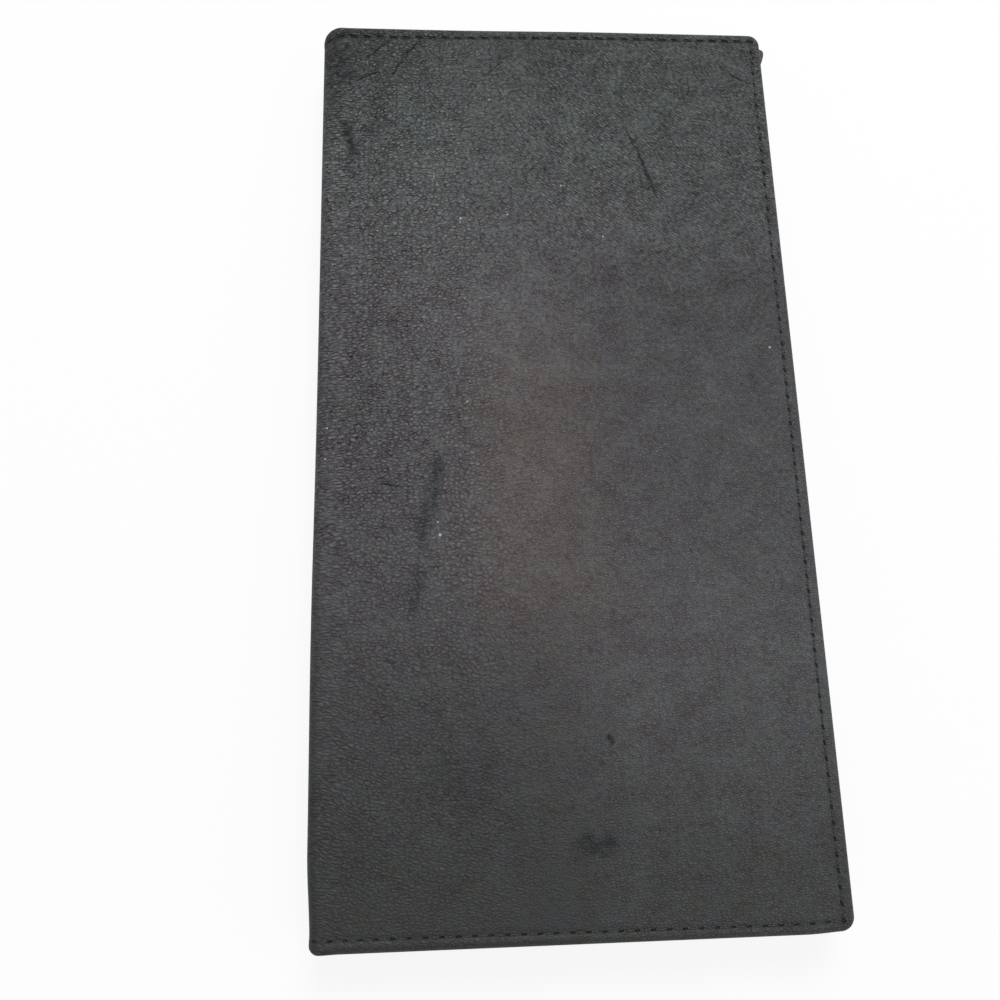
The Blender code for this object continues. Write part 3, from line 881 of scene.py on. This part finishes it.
def lining(half, name, node):
    """Cloth over a half's board, down into the fold and half way up it."""
    (_, far), (low, high), (outside, inside) = node_span(half, node)
    start = 4 * MM
    columns = evenly(SPINE_MIDDLE, start, 2 * FINE_CELL) + evenly(start, far, CLOTH_CELL) + [far]
    rows = evenly(low, high, CLOTH_CELL) + [high]

    def place_of(across, along):
        over_end = soft_step(abs(along), TURNED_END_STARTS, TURNED_END_REACHED)
        depth = LINING_AT_FOLD + OVER_TURNED_END * over_end
        depth += (inside - depth) * soft_step(across, CLIMB_START, CLIMB_END)
        (base_across, base_depth), (inward_across, inward_depth) = fold_section(across)
        place = half.place(base_across + depth * inward_across, along, base_depth + depth * inward_depth)
        return place, Vector((across, along, 0)) / MM

    made = laid_sheet(name, half, True, columns, rows, place_of, inside - outside)
    made.data.materials.append(black_twill)
    return made


def twill_finish():
    """Black cotton twill: fine ribs at 45 degrees over the crossing yarns."""
    made, shade = finish("black_twill", specular_ior_level=0.25)
    u, v, _ = shade.node("Attribute", {"attribute_name": "cut"}, {}, "Vector").xyz()
    uneven = shade.cloud(shade.vector(u, v), 2.5, 2) * 0.5
    rib = shade.math("SINE", (u + v + uneven * 0.3) * (2 * math.pi / 0.52)) * 0.5 + 0.5
    yarn = shade.math("SINE", (u - v) * (2 * math.pi / 0.33)) * 0.5 + 0.5
    weave = rib * 0.7 + yarn * 0.3
    dust = shade.cloud(shade.vector(u, v), 9.0, 4)
    colour = shade.mix(weave, (0.007, 0.007, 0.008, 1), (0.030, 0.030, 0.033, 1))
    feed(
        made,
        base_color=shade.tint(colour, 1 + dust * 0.25),
        roughness=0.90 - weave * 0.14,
        normal=bump(shade, weave * 0.06),
    )
    return made


black_twill = twill_finish()
lining_back = lining(BACK, "lining_back", "back_lining")
lining_front = lining(FRONT, "lining_front", "front_lining")
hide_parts("back_lining", "spine_lining")
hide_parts("front_lining")
bend(lining_back, BACK, *LINING_BEND)
bend(lining_front, FRONT, *LINING_BEND)


# Note pockets. A twill divider with a leather facing on its mouth and a leather panel in front of it make
# two pockets for notes, open towards the fold. The panel's mouth is scooped for the thumb.

SCOOP_WIDTH = 70 * MM
SCOOP_DEPTH = 7 * MM
PANEL_CORNER = 1.8 * MM
LEATHER_EDGE = 0.16 * MM  # rounding of a cut and painted leather edge
GAPE = 0.16 * MM  # how far the middle of a mouth stands off
GAPE_REACH = 11 * MM
WORKED_LENGTH = 11 * MM  # the part of a sheet, at its top fore corner, that can have worked out
WORKED_WIDTH = 3.0 * MM
NO_MOUTH = 50 * MM  # the distance below a mouth on a sheet that has none


def rounded_off(distance, radius):
    """How far in an outline lies at a distance from a side, beside a rounded corner."""
    if distance >= radius:
        return 0.0
    return radius - math.sqrt(max(radius**2 - (radius - distance) ** 2, 0))


def gape(below, share):
    """How far a mouth stands off its pocket, from the distance below it and the place along it."""
    return GAPE * (1 - (2 * share - 1) ** 2) * soft_step(GAPE_REACH - below, 0, GAPE_REACH)


def scoop(along):
    """How far the note panel's mouth is hollowed."""
    share = min(abs(2 * along / SCOOP_WIDTH), 1)
    return SCOOP_DEPTH * (1 + math.cos(math.pi * share)) / 2


def mouth_stations(length, cell):
    """Distances from a mouth to the far side of a sheet, fine beside the mouth and at the far corners."""
    fine = 2.4 * MM
    stations = evenly(0, fine, FINE_CELL) + evenly(fine, length - fine, cell)
    return stations + evenly(length - fine, length, FINE_CELL) + [length]


def pocket_sheet(name, half, node, thickness, lay, under=None):
    """A sheet that rides on a half in a node's place: cloth if it lies on a named piece, else leather.

    lay gives across, along, depth and the distance below the mouth for a place on the sheet.
    """
    (near, far), (low, high), _ = node_span(half, node)

    def place_of(from_near, from_low):
        across, along, depth, below = lay(from_near, from_low)
        return half.place(across, along, depth), Vector((across, along, below)) / MM

    columns = mouth_stations(far - near, CLOTH_CELL)
    rows = mouth_stations(high - low, CLOTH_CELL)
    edge = 0 if under else LEATHER_EDGE
    made = laid_sheet(name, half, True, columns, rows, place_of, thickness, edge)
    made.data.materials.append(black_twill if under else inner_leather)
    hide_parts(node)
    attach(made, half.body)
    return made


def level_sheet(name, half, node, corner=0, mouth=None, open_by=0, under=None, worked_out=0):
    """A level sheet. mouth gives the hollow of its fold side, where that side is open.

    worked_out is how far its top fore corner has crept outwards.
    """
    (near, far), (low, high), (outside, inside) = node_span(half, node)

    def lay(from_near, from_low):
        start = near + (mouth(low + from_low) if mouth else 0)
        across = start + (far - start) * from_near / (far - near)
        share = from_low / (high - low)
        half_length = (high - low) / 2 - rounded_off(far - across, corner)
        along = (low + high) / 2 + (2 * share - 1) * half_length
        below = across - start if mouth else NO_MOUTH
        crept = soft_step(along, high - WORKED_LENGTH, high) * soft_step(across, far - WORKED_WIDTH, far)
        across, along = across + worked_out * crept, along - 0.2 * worked_out * crept
        return across, along, inside + open_by * gape(below, share), below

    return pocket_sheet(name, half, node, inside - outside, lay, under)


def inner_leather_finish():
    """Black calf: a tight small pebble, a pressed line below each mouth and painted edges."""
    made, shade = finish("black_inner_leather", specular_ior_level=0.4)
    u, v, below = shade.node("Attribute", {"attribute_name": "cut"}, {}, "Vector").xyz()
    flat = shade.vector(u, v)
    warp = shade.cloud(flat, 1.1, 2) * 0.2
    settings = {"voronoi_dimensions": "2D", "feature": "SMOOTH_F1"}
    place = shade.vector((u + warp) / 0.62, (v + warp) / 0.5)
    cells = {"Vector": place, "Scale": 1.0, "Smoothness": 0.3}
    pebble = shade.node("TexVoronoi", settings, cells, "Distance")
    pressed = abs(below - 1.6).ramp(0.34, 0.06)
    painted = below.ramp(0.30, 0.05)
    rubbed = shade.cloud(flat, 11.0, 3) * 0.5 + 0.5
    tone = 1.0 + rubbed * 0.35 - pebble * 0.5 - pressed * 0.55
    colour = shade.mix(painted, (0.030, 0.029, 0.030, 1), (0.012, 0.012, 0.013, 1))
    feed(
        made,
        base_color=shade.tint(colour, tone),
        roughness=0.50 - rubbed * 0.08 + pebble * 0.1 - painted * 0.12,
        normal=bump(shade, pebble * -0.07 - pressed * 0.10 + rubbed * 0.02),
    )
    return made


inner_leather = inner_leather_finish()
level_sheet("divider", BACK, "note_divider", under="lining_back")
facing = level_sheet("facing", BACK, "divider_facing", mouth=lambda along: 0, open_by=0.4)
panel = level_sheet("note_pocket_front", BACK, "note_panel", PANEL_CORNER, scoop, 1)


# Card slots. Eight leather bands lie like shingles on a cloth-covered carrier. A thin cloth tongue hangs
# from each of the first seven and makes the pocket behind the next, so every sheet climbs over those
# beneath it. The last band is a whole pocket front, and a leather header lies above the first.

BAND_CORNER = 1.8 * MM
HEADER_CORNER = 0.9 * MM
HEADER_WORKED_OUT = 3.0 * MM  # its corner shows past the fore edge near the top

first_span = node_span(FRONT, "card_slot_1")
second_span = node_span(FRONT, "card_slot_2")
last_span = node_span(FRONT, "card_slot_8")
tongue_span = node_span(FRONT, "slot_tongue_7")

SLOT_PITCH = first_span[1][1] - second_span[1][1]
SHEET_STEP = second_span[2][1] - first_span[2][1]
BAND_THICKNESS = first_span[2][1] - first_span[2][0]
BAND_FLOOR = last_span[2][0] + BAND_THICKNESS
FIRST_CLIMB = first_span[2][1] - BAND_FLOOR
SLOT_REACH = first_span[1][1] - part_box("slot_tongue_1")[0].y
TONGUE_THICKNESS = 0.2 * MM
TONGUE_FLOOR = tongue_span[2][0] + TONGUE_THICKNESS


def climb(number, below):
    """How high a slot's sheets lie at a distance below its mouth: they climb over the ones beneath."""
    free = SHEET_STEP * (SLOT_REACH - below) / SLOT_PITCH
    return min(max(free, 0), FIRST_CLIMB + (number - 1) * SHEET_STEP)


def slot_sheet(name, node, number, floor, thickness, under=None):
    """A band or tongue of a card slot, which follows the climb of its slot from its mouth down."""
    (near, far), (low, high), _ = node_span(FRONT, node)
    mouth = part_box(f"card_slot_{number}")[1].y

    def lay(from_near, from_low):
        along = low + from_low
        share = from_near / (far - near)
        below = mouth - along
        corner = 0 if under else rounded_off(high - along, BAND_CORNER)
        across = (near + far) / 2 + (2 * share - 1) * ((far - near) / 2 - corner)
        open_by = 0 if under else gape(below, share)
        return across, along, floor + climb(number, below) + open_by, below

    return pocket_sheet(name, FRONT, node, thickness, lay, under)


carrier = level_sheet("carrier", FRONT, "card_carrier", under="lining_front")
header = level_sheet("header", FRONT, "card_header", HEADER_CORNER, worked_out=HEADER_WORKED_OUT)
bands = []
for number in range(1, 9):
    node = f"card_slot_{number}"
    bands.append(slot_sheet(f"card_band_{number}", node, number, BAND_FLOOR, BAND_THICKNESS))
for number in range(1, 8):
    node = f"slot_tongue_{number}"
    slot_sheet(f"tongue_{number}", node, number, TONGUE_FLOOR, TONGUE_THICKNESS, under="carrier")


# Inner stitches. The machine's under thread comes out on the inside of the same holes, on whichever layer
# lies on top there, and a line of its own closes the card slots along their fold side.

CARD_SEAM = 2.0 * MM  # in from the card slots' side
SEAM_ON_HALF = 3.8 * MM  # across from the fold, past which the seam's stitches stay with the half
CLEAR = GAPE + 0.05 * MM
CONTENTS = {  # how far in from its outer face each half is filled, and how far the fold is
    "back_half": node_span(BACK, "note_panel")[2][1] + CLEAR,
    "front_half": last_span[2][1] + CLEAR,
    "spine": 2.5 * MM,
}


def on_top_layer(half, across, along, layers):
    """Place and inward direction on the layer that the thread comes out of."""
    (base_across, base_depth), (inward_across, inward_depth) = fold_section(across)
    reach = CONTENTS[half.body if across > FOLD_RADIUS else "spine"]
    start = half.place(base_across + reach * inward_across, along, base_depth + reach * inward_depth)
    outward = half.out(-inward_across, 0, -inward_depth)
    hits = [layer.ray_cast(start, outward) for layer in layers]
    places = [place for hit, place, _, _ in hits if hit]
    return min(places, key=lambda place: (place - start).length), -outward


bpy.context.view_layer.update()


def under_thread(half, layers):
    """Stitches in the holes of the outer seam: those beside the fold make a piece of their own, and the
    others are returned to ride on the half.
    """
    holes = seam_holes(half)
    places = [on_top_layer(half, across, along, layers) for across, along in holes]
    pairs = list(zip(places, places[1:]))
    at_fold = [min(first[0], second[0]) < SEAM_ON_HALF for first, second in zip(holes, holes[1:])]
    beside = [pair for pair, bends in zip(pairs, at_fold) if bends]
    made = thread_line(half.body + "_under_thread_at_fold", beside, SUNK_INSIDE)
    bend(made, half, *LINING_BEND)
    return [pair for pair, bends in zip(pairs, at_fold) if not bends]


on_back = under_thread(BACK, [lining_back, facing, panel])
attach(thread_line("under_thread_back", on_back, SUNK_INSIDE), "back_half")

front_layers = [lining_front, carrier, header] + bands
card_seam_across = first_span[0][0] + CARD_SEAM
card_seam_end = HALF_LENGTH - BOTTOM_SEAM - STITCH_PITCH
card_seam = [
    on_top_layer(FRONT, card_seam_across, along, front_layers)
    for along in evenly(-card_seam_end, card_seam_end, STITCH_PITCH)
]
on_front = under_thread(FRONT, front_layers) + list(zip(card_seam, card_seam[1:]))
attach(thread_line("under_thread_front", on_front, SUNK_INSIDE), "front_half")


# Stage and light. A plain pale floor, a broad soft lamp above the fore edge and an even white sky.


def seen_as(tree, lit, seen, share, output):
    """Shows the camera a share of one shader in another's place, and keeps the light of the first."""
    shade = Shade(tree)
    at_camera = shade.node("LightPath", {}, {}, "Is Camera Ray") * share
    joined = shade.node("MixShader", {}, {0: at_camera, 1: Shade(tree, lit.outputs[0]), 2: seen})
    tree.links.new(joined.socket, tree.nodes[output].inputs["Surface"])


def stage_finish():
    """Pale floor that shows white to the camera but keeps the wallet's soft shadow."""
    made, shade = finish("pale_floor", base_color=(0.86, 0.86, 0.86, 1), roughness=0.9)
    glow = shade.node("Emission", {}, {"Strength": 1.0})
    seen_as(shade.tree, shade.tree.nodes["Principled BSDF"], glow, 0.88, "Material Output")
    return made


ground = bmesh.new()
bmesh.ops.create_grid(ground, x_segments=1, y_segments=1, size=3)
floor = piece_of("floor", ground)
floor.data.materials.append(stage_finish())

sky = bpy.data.worlds.new("soft_sky")
sky.use_nodes = True
sky_light = sky.node_tree.nodes["Background"]
sky_light.inputs["Color"].default_value = (1, 1, 1, 1)
sky_light.inputs["Strength"].default_value = 0.45
white = Shade(sky.node_tree).node("Background", {}, {"Color": (1, 1, 1, 1), "Strength": 1.0})
seen_as(sky.node_tree, sky_light, white, 1.0, "World Output")
bpy.context.scene.world = sky


def soft_lamp(name, place, size, power):
    """A square soft lamp that faces the middle of the wallet."""
    light = bpy.data.lights.new(name, "AREA")
    light.shape = "SQUARE"
    light.size = size
    light.energy = power
    lamp = bpy.data.objects.new(name, light)
    lamp.location = place
    lamp.rotation_euler = Vector(place).to_track_quat("Z", "Y").to_euler()
    bpy.context.scene.collection.objects.link(lamp)


soft_lamp("key_lamp", (0.07, 0.57, 0.82), 0.43, 6.7)
soft_lamp("fill_lamp", (0.55, -0.2, 0.5), 0.5, 0.9)
